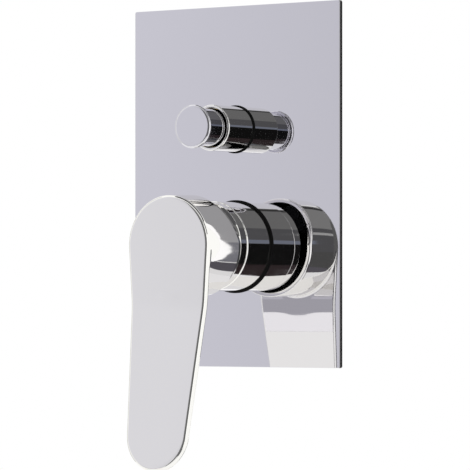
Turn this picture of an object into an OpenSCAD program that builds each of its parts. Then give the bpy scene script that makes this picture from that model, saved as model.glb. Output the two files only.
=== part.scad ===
// Concealed single-lever shower mixer with a pull-out diverter.
// Millimetres. +X is right, +Z is up and -Y is out of the wall, towards the user.
// The origin is the centre of the four fixing holes, on the valve body's rear face.

/* [Cover plate] */
// Width of the cover plate
plate_w = 126; // [116:1:150]
// Height of the cover plate
plate_h = 180; // [176:1:220]
// Thickness of the cover plate
plate_t = 2.5; // [1.5:0.1:4]
// Radius of the cover plate's corners
plate_corner = 1; // [0.5:0.1:6]
// Distance of the lever's axis below the plate's centre
lever_drop = 30; // [28:0.5:34]
// Distance of the diverter's axis above the plate's centre
knob_rise = 28.5; // [27:0.5:34]
// Thickness of the foam seal between plate and wall
gasket_t = 1.5; // [1:0.1:3]
// Width of the foam seal's band
gasket_band = 8; // [4:0.5:12]
// Distance from the plate's edge to the foam seal
gasket_inset = 3; // [2:0.5:6]

/* [Lever trim] */
// Outside diameter of the chrome sleeve round the cartridge
sleeve_d = 44.4; // [44:0.1:46]
// Distance that the sleeve's front edge stands out from the plate
sleeve_out = 20.3; // [19.9:0.1:21]
// Radius of the sleeve's front edge
sleeve_edge = 0.7; // [0.3:0.1:1]
// Outside diameter of the rubber ring at the sleeve's foot
ring_d = 46.5; // [46.2:0.1:48]
// Thickness of the rubber ring at the sleeve's foot
ring_t = 1.9; // [1.2:0.1:2.4]
// Outside diameter of the dome that closes the sleeve
dome_d = 43.8; // [43:0.1:44]
// Height of the dome's straight band
dome_band = 5; // [4:0.1:5.5]
// Wall of the dome
dome_wall = 1.6; // [1.2:0.1:1.8]
// Half angle of the dome's opening, seen from the lever's pivot
dome_open = 38; // [37:1:42]

/* [Lever] */
// Diameter of the hub's rear rim
hub_rear_d = 50; // [49.6:0.1:52]
// Diameter of the hub at the face
hub_front_d = 48.8; // [48:0.1:51]
// Distance from the plate to the hub's rear rim
hub_gap = 29.5; // [29:0.1:31]
// Distance from the plate to the lever's face
face_out = 56.3; // [55:0.1:60]
// Radius of the edge round the lever's face
face_edge = 1.2; // [0.6:0.1:1.6]
// Wall of the hub
hub_wall = 2.1; // [1.6:0.1:2.4]
// Thickness of metal behind the hub's face
hub_top = 4; // [3:0.1:5]
// Slope of the cut at the top of the hub's rear rim
relief_angle = 20; // [10:1:24]
// Height above the axis at which that cut starts
relief_start = 1; // [0:0.5:4]
// Distance from the lever's axis to the centre of the blade's round end
blade_len = 92.6; // [80:0.1:110]
// Radius of the blade's round end
tip_r = 18; // [14:0.1:22]
// Thickness of the blade
blade_t = 2.8; // [2.2:0.1:3.6]
// Distance below the axis at which the blade bends outwards
blade_bend = 29; // [27:0.5:40]
// Angle of that bend
blade_kick = 8.4; // [2:0.1:14]
// Radius of the fillet between hub and blade
blade_fillet = 5; // [3:0.5:6]
// Diameter of the lever's grub screw
grub_d = 5; // [4:0.5:6]
// Length of the lever's grub screw
grub_len = 5; // [4:0.5:5]

/* [Cartridge] */
// Outside diameter of the cartridge
cart_d = 34.8; // [34.6:0.1:35]
// Distance from the plate to the pivot of the stem
pivot_out = 13; // [12.8:0.1:13.4]
// Length from the pivot to the centre of the stem's ball
ball_arm = 7; // [6.8:0.1:7.1]
// Radius of the stem's ball
ball_r = 2.4; // [2.2:0.1:2.4]
// Side of the stem's square
stem_side = 8; // [7:0.5:8]
// Distance from the plate to the stem's end
stem_out = 49; // [47:0.5:50]
// Diameter of the pin that the stem tilts on
pivot_pin_d = 3; // [2:0.5:3.5]
// Depth of the cartridge's base
cart_base_h = 5; // [4:0.5:5.5]
// Thickness of the fixed ceramic disc
fixed_disc_t = 3.5; // [3:0.1:3.8]
// Thickness of the moving ceramic disc
moving_disc_t = 3; // [2.6:0.1:3.2]
// Diameter of the moving ceramic disc
moving_disc_d = 24.4; // [22:0.1:25]
// Diameter of each port through the cartridge
port_d = 7; // [6:0.5:7.5]
// Thickness of each port's seal ring
port_seal_t = 2; // [1.5:0.1:2.4]
// Depth of the cartridge's seat behind the wall
cart_seat = 4; // [3.5:0.5:5]
// Distance from the top of the moving disc's carrier to the axis that the lever tilts on
carrier_drop = 5.8; // [5.6:0.1:6]
// Distance that the rotor reaches beyond that axis
rotor_rise = 3.5; // [3:0.1:3.8]
// Length of the nut's thread in the body's neck
nut_thread_len = 4; // [3.5:0.1:4.5]
// Height of the nut's head
nut_head_h = 3.6; // [3:0.1:3.6]

/* [Diverter] */
// Depth of the bonnet's foot behind the wall
bonnet_depth = 8; // [7.5:0.1:8.5]
// Diameter of the knob's disc
knob_d = 21.6; // [21:0.1:23]
// Thickness of the knob's disc
knob_t = 2.1; // [1.5:0.1:3]
// Distance from the plate to the knob's face
knob_out = 36.3; // [35:0.1:40]
// Radius of the edge round the knob's face
knob_edge = 0.9; // [0.4:0.1:1]
// Diameter of the knob's neck
neck_d = 18.6; // [18:0.1:19]
// Wall of the knob's neck
neck_wall = 1.4; // [1:0.1:1.6]
// Outside diameter of the knob's sleeve
knob_sleeve_d = 22.8; // [22.6:0.1:24]
// Distance that the knob's sleeve stands out from the plate
knob_sleeve_out = 20.9; // [19:0.1:22]
// Outside diameter of the rubber ring at that sleeve's foot
knob_ring_d = 24; // [23.8:0.1:26]
// Thickness of that rubber ring
knob_ring_t = 1; // [0.8:0.1:1.5]
// Travel of the knob
travel = 7; // [5:0.5:7]
// Diameter of the diverter's spindle
spindle_d = 6; // [5:0.1:6.4]
// Diameter of the diverter's valve discs
valve_d = 10.4; // [10:0.1:10.8]
// Thickness of each valve disc
valve_t = 2.5; // [2:0.1:2.8]
// Diameter of the opening in each valve seat
seat_d = 8.8; // [8.6:0.1:9]
// Thickness of each valve seat
seat_t = 2; // [1.8:0.1:2.5]
// Length of the chamber between the two seats
mid_len = 7; // [6:0.5:8]
// Outside diameter of the return spring
spring_d = 10.2; // [9.9:0.1:10.4]
// Wire diameter of the return spring
wire_d = 0.9; // [0.7:0.1:0.9]
// Number of turns of the return spring
spring_turns = 5; // [4:1:6]

/* [Valve body] */
// Depth of the valve body behind the finished wall
build_depth = 43; // [42.5:0.5:50]
// Outside diameter of the cartridge's housing in the wall
chamber_d = 42; // [41:0.5:44]
// Outside diameter of the diverter's housing in the wall
diverter_d = 28; // [27:0.5:30]
// Diameter of the neck that carries the sleeve
body_neck_d = 40; // [39.8:0.1:40.4]
// Depth of the inlets' axis behind the wall
inlet_depth = 20; // [19.5:0.5:21]
// Distance from the lever's axis to each inlet's face
inlet_reach = 38; // [37:0.5:44]
// Distance from the lever's axis down to the bath outlet's face
bath_reach = 46; // [44:0.5:56]
// Distance from the diverter's axis up to the shower outlet's face
shower_reach = 36; // [34:0.5:50]
// Diameter of each port's boss
boss_d = 27; // [26:0.5:28]
// Core diameter of each port's half-inch pipe thread
thread_d = 19; // [18.6:0.1:19.2]
// Depth of each port's thread
thread_len = 14; // [12:0.5:15]
// Diameter of the waterways
way_d = 9; // [7:0.5:9.5]
// Diameter of each check valve
check_d = 14.8; // [13:0.1:15]
// Length of each check valve
check_len = 8; // [6:0.5:9]
// Thickness of each inlet strainer
strainer_t = 0.9; // [0.6:0.1:1.4]
// Spacing of the fixing holes across
fix_x = 44; // [40:1:46]
// Spacing of the fixing holes up and down
fix_z = 100; // [96:1:110]
// Diameter of the fixing holes
fix_d = 5.5; // [4.5:0.1:6]
// Thickness of the rear flange
flange_t = 4; // [3:0.5:5]

/* [Hidden] */
$fn = 96;

fit = 0.1;          // radial clearance of pieces that screw or push together
run = 0.05;         // radial clearance of a pin or spindle that turns or slides
gap = 0.3;          // clearance of faces that pass each other
eps = 0.01;
far = 200;

// Places along an axis are distances out from the plate's front face, so those behind it are negative
wall = -(plate_t + gasket_t);
back = wall - build_depth;
lever_z = -lever_drop;
knob_z = knob_rise;

// Cartridge, from its floor outwards
neck_r = body_neck_d / 2;
cart_r = cart_d / 2;
neck_bore_r = cart_r + 2 * fit;
floor_out = wall - cart_seat;
base_top = floor_out + cart_base_h;
fixed_top = base_top + fixed_disc_t;
moving_top = fixed_top + moving_disc_t;
carrier_top = pivot_out - carrier_drop;
rotor_foot = carrier_top + gap;
rotor_step = rotor_foot + 2;
rotor_top = pivot_out + rotor_rise;
rotor_r = 12;
rotor_flange_r = 14.8;
cup_r = 15.6;
cup_top = rotor_step + gap;
shoulder = cup_top + 1.9;
crown_r = 14.4;
crown_top = rotor_top + 1;
neck_top = shoulder + nut_thread_len;
nut_bore_r = crown_r + 2 * fit;
nut_head_r = 18.2;
nut_head_top = neck_top + nut_head_h;
closed_offset = 1.3;
disc_r = moving_disc_d / 2;
port_r = port_d / 2;
seal_r = port_r + 1.6;
inlet_port = [6.4, -4];
mixed_port = [0, 7.4];
ports = [[-inlet_port.x, inlet_port.y], inlet_port, mixed_port];
dowel_r = 1.8;
dowel_x = 13;
dowel_len = 2.5;
pin_r = pivot_pin_d / 2;
stem_heel = 3;
stem_neck_r = 2;
slot_half = 6;

// Sleeve, rubber rings and dome
sleeve_r = sleeve_d / 2;
sleeve_bore_r = neck_r + 2 * fit;
cord_r = 0.72;
groove_w = 2;
neck_groove = 6;
dome_r = dome_d / 2;
dome_top = sleeve_out + dome_band;
dome_ball = norm([dome_r, dome_top - pivot_out]);
dome_mouth_r = dome_ball * sin(dome_open);
plug_r = sleeve_bore_r - fit;
plug_len = 3;

// Lever
hub_rear_r = hub_rear_d / 2;
hub_front_r = hub_front_d / 2;
hub_bore_r = hub_rear_r - hub_wall;
hub_floor_r = hub_front_r - hub_wall;
hub_floor = face_out - hub_top;
sweep_r = dome_ball + 2.4;
socket_boss_r = 9;
socket_foot = pivot_out + sqrt(pow(sweep_r, 2) - pow(socket_boss_r, 2)) + 1.5;
socket_half = stem_side / 2 + fit;
grub_r = grub_d / 2;
grub_out = socket_foot + grub_r + 1;
rib_t = 2;
rib_depth = 5;

// Diverter
valve_r = valve_d / 2;
seat_r = seat_d / 2;
spindle_r = spindle_d / 2;
bonnet_foot = wall - bonnet_depth;
front_seat = bonnet_foot - travel - valve_t - 0.5;
mid_front = front_seat - seat_t;
rear_seat = mid_front - mid_len;
rear_front = rear_seat - seat_t;
cage_foot = rear_front - travel - valve_t - 1.5;
front_way = (bonnet_foot + front_seat) / 2;
mid_way = (mid_front + rear_seat) / 2;
rear_way = (rear_front + cage_foot) / 2;
cage_r = 8.6;
cage_bore_r = valve_r + 0.4;
bonnet_thread_r = cage_r + 1;
bonnet_face = wall - 1;
bonnet_hex_r = 11.4;
knob_neck_r = neck_d / 2;
collar_r = knob_neck_r + 0.2;
collar_top = 7;
bonnet_tube_r = knob_neck_r - neck_wall - 1.6;
bonnet_top = 14;
bonnet_seal = bonnet_foot + 1;
spindle_seal = collar_top + 2;
spring_seat = bonnet_face;
spring_r = spring_d / 2;
spring_pocket_r = spring_r + gap;
clip_r = 4;
clip_t = 0.8;
rear_disc = rear_front - travel - valve_t;
spindle_foot = rear_disc - clip_t;
spindle_tip = knob_out - knob_t - 2;
knob_r = knob_d / 2;
knob_boss_r = spindle_r + 3;
knob_boss_foot = bonnet_top + 3 * gap;
neck_foot = collar_top + gap;
knob_sleeve_r = knob_sleeve_d / 2;
knob_bore_r = knob_neck_r + 0.75;
knob_edge_r = 0.5;
knob_grub_r = 1.5;
knob_grub_out = (knob_sleeve_out + knob_out - knob_t) / 2;
small_cord_r = 0.55;
small_groove_w = 1.5;

// Valve body
chamber_r = chamber_d / 2;
diverter_r = diverter_d / 2;
boss_r = boss_d / 2;
thread_r = thread_d / 2;
way_r = way_d / 2;
check_r = check_d / 2;
body_face = wall - 1;
inlet_way = wall - inlet_depth;
bath_way = back + flange_t + boss_r + gap;
shower_way = wall - boss_r - 1.6;
bridge_w = 22;
thread_foot = inlet_reach - thread_len;
strainer_r = thread_r - 0.9;
strainer_foot = thread_foot - strainer_t;
check_foot = strainer_foot - check_len;
bath_bore_r = thread_r - 1.5;
stub = 2;
way_wall = 3;
union_foot = strainer_foot;
bath_foot = lever_z - chamber_r - stub;
shower_foot = knob_z + diverter_r + stub;
riser_r = mid_len / 2 - gap;
flange_lip = 6;

// Stands children, drawn along +Z from the plate's front face, out of the wall at a height
module out_of_wall(height) {
    translate([0, back, height]) rotate([90, 0, 0]) children();
}

module rod(r, from, to) {
    translate([0, 0, from]) cylinder(h = to - from, r = r);
}

module tube(r, bore, from, to) {
    difference() {
        rod(r, from, to);
        rod(bore, from - eps, to + eps);
    }
}

// A rod across the axis, along X, at a distance out from the plate
module rod_x(r, from, to, out, rise = 0) {
    translate([from, rise, out]) rotate([0, 90, 0]) cylinder(h = to - from, r = r);
}

// A rod up and down, along the wall, at a distance out from the plate
module rod_up(r, from, to, out) {
    translate([0, from, out]) rotate([-90, 0, 0]) cylinder(h = to - from, r = r);
}

// A rubber ring of round cord
module cord_ring(ring_r, cord, out) {
    rotate_extrude() translate([ring_r, out]) circle(cord);
}

module rounded_sheet(w, h, r) {
    square([w - 2 * r, h], center = true);
    square([w, h - 2 * r], center = true);
    for (x = [-1, 1], y = [-1, 1])
        translate([x * (w / 2 - r), y * (h / 2 - r)]) circle(r);
}

// Bores behind one inlet's union: the check valve's seat and the waterway to its port
module inlet_bores() {
    rod_x(check_r + fit, check_foot, union_foot + eps, inlet_way);
    rod_x(way_r, inlet_port.x - port_r - gap, check_foot + eps, inlet_way, inlet_port.y / 2);
}

// The casting that holds the cartridge and the diverter, with a short stub for each union
module valve_body() {
    color("#C8A050") out_of_wall(0) difference() {
        union() {
            translate([0, lever_z, 0]) rod(chamber_r, back, body_face);
            translate([0, lever_z, 0]) rod(neck_r, body_face - eps, neck_top);
            translate([0, knob_z, 0]) rod(diverter_r, back, body_face);
            translate([-bridge_w / 2, lever_z, back])
                cube([bridge_w, knob_z - lever_z, mid_way + boss_r - back]);
            translate([0, lever_z, 0]) rod_x(boss_r, -union_foot, union_foot, inlet_way);
            rod_up(boss_r, bath_foot, lever_z, bath_way);
            rod_up(boss_r, knob_z, shower_foot, shower_way);
        }
        // Cartridge seat, its O-ring groove, dowel holes and ports
        translate([0, lever_z, 0]) {
            rod(neck_bore_r, floor_out, neck_top + eps);
            tube(neck_r + 1, sleeve_bore_r - 2 * cord_r, neck_groove, neck_groove + groove_w);
            for (x = [-1, 1]) translate([x * dowel_x, 0, 0])
                rod(dowel_r + fit, floor_out - dowel_len - gap, floor_out + eps);
            for (x = [-1, 1]) translate([x * inlet_port.x, inlet_port.y, 0])
                rod(port_r, inlet_way, floor_out + eps);
            translate(mixed_port) rod(port_r, mid_way - port_r - 1, floor_out + eps);
            inlet_bores();
            mirror([1, 0, 0]) inlet_bores();
        }
        // Diverter seat and the waterways that lead to it
        translate([0, knob_z, 0]) {
            rod(cage_r, cage_foot, bonnet_foot + eps);
            rod(bonnet_thread_r, bonnet_foot, body_face + eps);
        }
        rod_up(riser_r, lever_z + mixed_port.y, knob_z, mid_way);
        rod_up(way_r, bath_foot + stub + way_wall, knob_z, rear_way);
        rod_up(way_r, knob_z, shower_foot + eps, front_way);
        rod_up(bath_bore_r, bath_foot - eps, bath_foot + way_d + way_wall, bath_way);
    }
}

// A brass sheet brazed round the casting's back, with the four fixing holes
module fixing_flange() {
    color("#C8A050") out_of_wall(0) translate([0, 0, back]) linear_extrude(flange_t) difference() {
        rounded_sheet(fix_x + 2 * flange_lip, fix_z + 2 * flange_lip, flange_lip);
        translate([0, lever_z]) circle(chamber_r + fit);
        translate([0, knob_z]) circle(diverter_r + fit);
        translate([-bridge_w / 2 - fit, lever_z]) square([bridge_w + 2 * fit, knob_z - lever_z]);
        for (x = [-1, 1], z = [-1, 1]) translate([x * fix_x / 2, z * fix_z / 2]) circle(fix_d / 2);
    }
}

// A union for a supply pipe, brazed on a stub of the casting: the strainer's seat and the thread
module inlet_union() {
    translate([0, lever_z, 0]) difference() {
        rod_x(boss_r, union_foot, inlet_reach, inlet_way);
        rod_x(strainer_r + fit, union_foot - eps, thread_foot + eps, inlet_way);
        rod_x(thread_r, thread_foot, inlet_reach + eps, inlet_way);
    }
}

module hot_union() {
    color("#C8A050") out_of_wall(0) mirror([1, 0, 0]) inlet_union();
}

module cold_union() {
    color("#C8A050") out_of_wall(0) inlet_union();
}

module bath_union() {
    low = lever_z - bath_reach;
    color("#C8A050") out_of_wall(0) difference() {
        rod_up(boss_r, low, bath_foot, bath_way);
        rod_up(thread_r, low - eps, low + thread_len, bath_way);
        rod_up(bath_bore_r, low + thread_len - eps, bath_foot + eps, bath_way);
    }
}

module shower_union() {
    high = knob_z + shower_reach;
    color("#C8A050") out_of_wall(0) difference() {
        rod_up(boss_r, shower_foot, high, shower_way);
        rod_up(way_r, shower_foot - eps, high - thread_len + eps, front_way);
        rod_up(thread_r, high - thread_len, high + eps, shower_way);
    }
}

// A plug-in check valve: a plastic cage round a sprung cone
module check_valve() {
    cone_r = check_r - 3;
    vane_t = 1;
    translate([0, lever_z, 0]) {
        difference() {
            rod_x(check_r, check_foot, strainer_foot, inlet_way);
            rod_x(check_r - 1.4, check_foot - eps, strainer_foot + eps, inlet_way);
        }
        rod_x(cone_r, check_foot + check_len / 2, check_foot + check_len / 2 + 1.2, inlet_way);
        rod_x(1.2, check_foot, strainer_foot - gap, inlet_way);
        for (turn = [0, 90]) translate([check_foot, 0, inlet_way]) rotate([turn, 0, 0])
            translate([0, -check_r + 0.7, -vane_t / 2]) cube([2, 2 * check_r - 1.4, vane_t]);
    }
}

module hot_check_valve() {
    color("#E8E8E4") out_of_wall(0) mirror([1, 0, 0]) check_valve();
}

module cold_check_valve() {
    color("#E8E8E4") out_of_wall(0) check_valve();
}

// A perforated steel disc that keeps grit out of the inlet
module strainer() {
    hole_r = 0.8;
    translate([0, lever_z, 0]) difference() {
        rod_x(strainer_r, strainer_foot, thread_foot, inlet_way);
        for (ring = [1 : 3], i = [0 : 6 * ring - 1]) {
            a = 60 * i / ring;
            translate([0, 2.3 * ring * sin(a), 2.3 * ring * cos(a)])
                rod_x(hole_r, strainer_foot - 1, thread_foot + 1, inlet_way, $fn = 24);
        }
    }
}

module hot_strainer() {
    color("#B8BABC") out_of_wall(0) mirror([1, 0, 0]) strainer();
}

module cold_strainer() {
    color("#B8BABC") out_of_wall(0) strainer();
}

module port_seals() {
    color("#202020") out_of_wall(lever_z)
        for (p = ports) translate(p) tube(seal_r - fit, port_r, floor_out, floor_out + port_seal_t);
}

module cartridge_base() {
    color("#D8D8D2") out_of_wall(lever_z) {
        difference() {
            rod(cart_r, floor_out, base_top);
            for (p = ports) translate(p) {
                rod(port_r, floor_out - eps, base_top + eps);
                rod(seal_r, floor_out - eps, floor_out + port_seal_t);
            }
        }
        for (x = [-1, 1]) translate([x * dowel_x, 0, 0])
            rod(dowel_r, floor_out - dowel_len, floor_out + eps);
    }
}

module cartridge_housing() {
    bore_r = rotor_r + 3 * run;
    color("#E4E4DE") out_of_wall(lever_z) rotate_extrude() polygon([
        [cup_r, base_top], [cart_r, base_top], [cart_r, shoulder], [crown_r, shoulder],
        [crown_r, crown_top], [bore_r, crown_top], [bore_r, cup_top], [cup_r, cup_top]]);
}

module fixed_disc() {
    color("#F2EFE6") out_of_wall(lever_z) difference() {
        rod(cup_r - 2 * fit, base_top, fixed_top);
        for (p = ports) translate(p) rod(port_r, base_top - eps, fixed_top + eps);
    }
}

// Its hollow underside joins the inlets to the mixed port when it slides and turns
module moving_disc() {
    color("#ECE8DC") out_of_wall(lever_z) difference() {
        translate([0, closed_offset, 0]) rod(disc_r, fixed_top, moving_top);
        translate([0, closed_offset + 3.2, 0])
            rod(2 * port_r, fixed_top - eps, fixed_top + moving_disc_t * 0.6);
    }
}

module disc_carrier() {
    color("#4A6FA0") out_of_wall(lever_z) difference() {
        translate([0, closed_offset, 0]) rod(disc_r, moving_top, carrier_top);
        rod(ball_r + 3 * run, moving_top - eps, carrier_top + eps);
        rod(ball_r + 1.4, carrier_top - 0.8, carrier_top + eps);
    }
}

module cartridge_rotor() {
    slot_w = stem_side + 2 * fit;
    color("#C4C8C0") out_of_wall(lever_z) difference() {
        union() {
            rod(rotor_flange_r, rotor_foot, rotor_step);
            rod(rotor_r, rotor_step - eps, rotor_top);
        }
        translate([-slot_w / 2, -slot_half, rotor_foot - eps])
            cube([slot_w, 2 * slot_half, rotor_top - rotor_foot + 2 * eps]);
        rod_x(pin_r, -rotor_r - 1, rotor_r + 1, pivot_out);
    }
}

module pivot_pin() {
    color("#A8ACB0") out_of_wall(lever_z)
        rod_x(pin_r, -rotor_r + 0.6, rotor_r - 0.6, pivot_out);
}

module cartridge_stem() {
    color("#9CA0A4") out_of_wall(lever_z) difference() {
        union() {
            translate([-stem_side / 2, -stem_side / 2, pivot_out - stem_heel])
                cube([stem_side, stem_side, stem_out - pivot_out + stem_heel]);
            rod(stem_neck_r, pivot_out - ball_arm, pivot_out - stem_heel + eps);
            translate([0, 0, pivot_out - ball_arm]) sphere(ball_r);
        }
        rod_x(pin_r + run, -stem_side, stem_side, pivot_out);
    }
}

module cartridge_nut() {
    color("#C8A050") out_of_wall(lever_z) difference() {
        union() {
            rod(neck_bore_r - fit, shoulder, neck_top + eps);
            translate([0, 0, neck_top]) cylinder(h = nut_head_top - neck_top, r = nut_head_r, $fn = 6);
        }
        rod(nut_bore_r, shoulder - eps, nut_head_top + eps);
    }
}

module neck_oring() {
    color("#202020") out_of_wall(lever_z)
        cord_ring(sleeve_bore_r - cord_r, cord_r, neck_groove + groove_w / 2);
}

module plate_gasket() {
    outer_w = plate_w - 2 * gasket_inset;
    outer_h = plate_h - 2 * gasket_inset;
    color("#2A2A2C") out_of_wall(0) translate([0, 0, wall]) linear_extrude(gasket_t) difference() {
        rounded_sheet(outer_w, outer_h, plate_corner);
        rounded_sheet(outer_w - 2 * gasket_band, outer_h - 2 * gasket_band, plate_corner);
    }
}

module cover_plate() {
    color("#C3C1CB") out_of_wall(0) translate([0, 0, -plate_t]) linear_extrude(plate_t) difference() {
        rounded_sheet(plate_w, plate_h, plate_corner);
        translate([0, lever_z]) circle(neck_r + gap);
        translate([0, knob_z]) circle(collar_r + gap);
    }
}

// A rubber ring with a round outer edge, lying on the plate
module foot_ring(ring_r, bore, t) {
    rotate_extrude() {
        translate([bore, 0]) square([ring_r - t / 2 - bore, t]);
        translate([ring_r - t / 2, t / 2]) circle(t / 2);
    }
}

module sleeve_ring() {
    color("#101012") out_of_wall(lever_z) foot_ring(ring_d / 2, neck_r + fit, ring_t);
}

// Section of a turned tube whose outer front edge is rounded
module rounded_wall(r, bore, from, to, edge) {
    translate([bore, from]) square([r - bore, to - edge - from]);
    translate([bore, to - edge - eps]) square([r - edge - bore, edge + eps]);
    translate([r - edge, to - edge]) circle(edge);
}

module main_sleeve() {
    color("#C9CBD0") out_of_wall(lever_z)
        rotate_extrude() rounded_wall(sleeve_r, sleeve_bore_r, ring_t, sleeve_out, sleeve_edge);
}

module dome_cap() {
    color("#C9CBD0") out_of_wall(lever_z) rotate_extrude() {
        translate([plug_r - dome_wall, sleeve_out - plug_len])
            square([dome_wall, plug_len + dome_wall]);
        translate([plug_r - dome_wall, sleeve_out])
            square([dome_r - plug_r + dome_wall, dome_wall]);
        translate([dome_r - dome_wall, sleeve_out]) square([dome_wall, dome_band]);
        intersection() {
            difference() {
                translate([0, pivot_out]) circle(dome_ball);
                translate([0, pivot_out]) circle(dome_ball - dome_wall);
            }
            translate([dome_mouth_r, dome_top - dome_wall]) square([far, far]);
            translate([0, 0]) square([dome_r, far]);
        }
    }
}

// Blade's outline from the front: a round end, and straight sides that run up into the hub
module blade_outline() {
    slope = asin((hub_front_r - tip_r) / blade_len);
    top = hub_front_r - fit;
    end = tip_r - fit;
    translate([0, -blade_len]) circle(tip_r);
    polygon([[top * cos(slope), -top * sin(slope)], [end * cos(slope), -blade_len - end * sin(slope)],
             [-end * cos(slope), -blade_len - end * sin(slope)], [-top * cos(slope), -top * sin(slope)]]);
}

module blade() {
    blade_back = face_out - blade_t;
    translate([0, 0, blade_back]) linear_extrude(blade_t) intersection() {
        blade_outline();
        translate([-far / 2, -blade_bend]) square([far, blade_bend]);
    }
    // The lower part turns outwards about its rear edge
    translate([0, -blade_bend, blade_back]) rotate([-blade_kick, 0, 0])
        linear_extrude(blade_t) intersection() {
            translate([0, blade_bend]) blade_outline();
            translate([-far / 2, -far]) square([far, far + eps]);
        }
    // Fillet between the hub and the back of the blade
    intersection() {
        rotate_extrude() difference() {
            translate([hub_floor_r, blade_back - blade_fillet])
                square([hub_wall + blade_fillet, blade_fillet + fit]);
            translate([hub_front_r + blade_fillet, blade_back - blade_fillet])
                circle(blade_fillet + fit / 2);
        }
        linear_extrude(face_out) blade_outline();
    }
}

module lever_handle() {
    color("#D4D2D4") out_of_wall(lever_z) difference() {
        union() {
            rotate_extrude() {
                polygon([[0, hub_gap], [hub_rear_r, hub_gap], [hub_front_r, face_out - face_edge],
                         [0, face_out - face_edge]]);
                translate([0, hub_gap]) square([hub_front_r - face_edge, face_out - hub_gap]);
                translate([hub_front_r - face_edge, face_out - face_edge]) circle(face_edge);
            }
            blade();
        }
        // Hollow round the socket boss and its four ribs
        difference() {
            rotate_extrude() polygon([[0, hub_gap - eps], [hub_bore_r, hub_gap - eps],
                                      [hub_floor_r, hub_floor], [0, hub_floor]]);
            rod(socket_boss_r, socket_foot, face_out);
            for (turn = [45, 135]) rotate([0, 0, turn])
                translate([-far / 2, -rib_t / 2, hub_floor - rib_depth]) cube([far, rib_t, far]);
        }
        // Cut that lets the rim's top swing towards the wall
        translate([-far / 2, relief_start, hub_gap]) rotate([relief_angle, 0, 0])
            translate([0, 0, -far]) cube([far, far, far]);
        // Square socket, screw thread and the hole that the key goes through
        translate([-socket_half, -socket_half, socket_foot - eps])
            cube([2 * socket_half, 2 * socket_half, stem_out + fit - socket_foot]);
        rod_up(grub_r, -socket_boss_r - 1, 0, grub_out);
        rod_up(grub_r + gap, -hub_rear_r - 1, -hub_floor_r + 1, grub_out);
    }
}

// A headless screw with a hexagon socket, drawn down from its point
module grub_screw(r, len) {
    difference() {
        rotate([90, 0, 0]) cylinder(h = len, r = r);
        translate([0, -len / 2, 0]) rotate([90, 0, 0]) cylinder(h = len, r = r * 0.58, $fn = 6);
    }
}

module lever_grub_screw() {
    color("#6E7276") out_of_wall(lever_z)
        translate([0, -stem_side / 2, grub_out]) grub_screw(grub_r - run, grub_len);
}

module diverter_cage() {
    window = 4.6;
    color("#E8E8E4") out_of_wall(knob_z) difference() {
        rod(cage_r - run, cage_foot, bonnet_foot);
        rod(cage_bore_r, front_seat, bonnet_foot + eps);
        rod(seat_r, cage_foot - eps, bonnet_foot);
        rod(cage_bore_r, rear_seat, mid_front);
        rod(cage_bore_r, cage_foot - eps, rear_front);
        for (turn = [0, 90], section = [[front_seat, bonnet_foot], [rear_seat, mid_front],
                                        [cage_foot, rear_front]])
            rotate([0, 0, turn]) translate([-window / 2, -far / 2, section[0] + 1])
                cube([window, far, section[1] - section[0] - 2]);
        for (seat = [front_seat, rear_seat])
            tube(cage_r + 1, cage_r - 2 * small_cord_r, seat - seat_t / 2 - small_groove_w / 2,
                 seat - seat_t / 2 + small_groove_w / 2);
    }
}

module cage_orings() {
    color("#202020") out_of_wall(knob_z) for (seat = [front_seat, rear_seat])
        cord_ring(cage_r - small_cord_r, small_cord_r, seat - seat_t / 2);
}

module diverter_spindle() {
    color("#B0B4B8") out_of_wall(knob_z) rod(spindle_r, spindle_foot, spindle_tip);
}

module valve_discs() {
    color("#202020") out_of_wall(knob_z) for (foot = [front_seat, rear_disc])
        tube(valve_r, spindle_r, foot, foot + valve_t);
}

module spindle_clips() {
    color("#A8ACB0") out_of_wall(knob_z) for (foot = [front_seat, rear_disc]) {
        tube(clip_r, spindle_r, foot - clip_t, foot);
        tube(clip_r, spindle_r, foot + valve_t, foot + valve_t + clip_t);
    }
}

// A helix of round wire, swept as rings of points about the axis
module diverter_spring() {
    sides = 8;
    steps = 20 * spring_turns;
    wire_r = wire_d / 2;
    coil_r = spring_r - wire_r;
    from = front_seat + valve_t + wire_r;
    rise = spring_seat - wire_r - from;
    points = [for (i = [0 : steps], j = [0 : sides - 1])
        let (a = 360 * spring_turns * i / steps, b = 360 * j / sides, r = coil_r + wire_r * cos(b))
        [r * cos(a), r * sin(a), from + rise * i / steps + wire_r * sin(b)]];
    faces = concat(
        [[for (j = [sides - 1 : -1 : 0]) j]],
        [for (i = [0 : steps - 1], j = [0 : sides - 1])
            let (a = i * sides + j, b = i * sides + (j + 1) % sides)
            [a, b, b + sides, a + sides]],
        [[for (j = [0 : sides - 1]) steps * sides + j]]);
    color("#A0A4A8") out_of_wall(knob_z) polyhedron(points, faces);
}

module diverter_bonnet() {
    color("#C8A050") out_of_wall(knob_z) difference() {
        union() {
            rod(bonnet_thread_r - fit, bonnet_foot, bonnet_face + eps);
            translate([0, 0, bonnet_face])
                cylinder(h = -plate_t - gap - bonnet_face, r = bonnet_hex_r, $fn = 6);
            rod(collar_r, bonnet_face, collar_top);
            rod(bonnet_tube_r, bonnet_face, bonnet_top);
        }
        rod(spindle_r + run, bonnet_foot - eps, bonnet_top + eps);
        rod(spring_pocket_r, bonnet_foot - eps, spring_seat);
        rod(spindle_r + 2 * small_cord_r, spindle_seal, spindle_seal + small_groove_w);
        tube(bonnet_thread_r + 1, bonnet_thread_r - 2 * small_cord_r, bonnet_seal,
             bonnet_seal + small_groove_w);
    }
}

module bonnet_oring() {
    color("#202020") out_of_wall(knob_z)
        cord_ring(bonnet_thread_r - small_cord_r, small_cord_r, bonnet_seal + small_groove_w / 2);
}

module spindle_oring() {
    color("#202020") out_of_wall(knob_z)
        cord_ring(spindle_r + small_cord_r, small_cord_r, spindle_seal + small_groove_w / 2);
}

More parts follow.
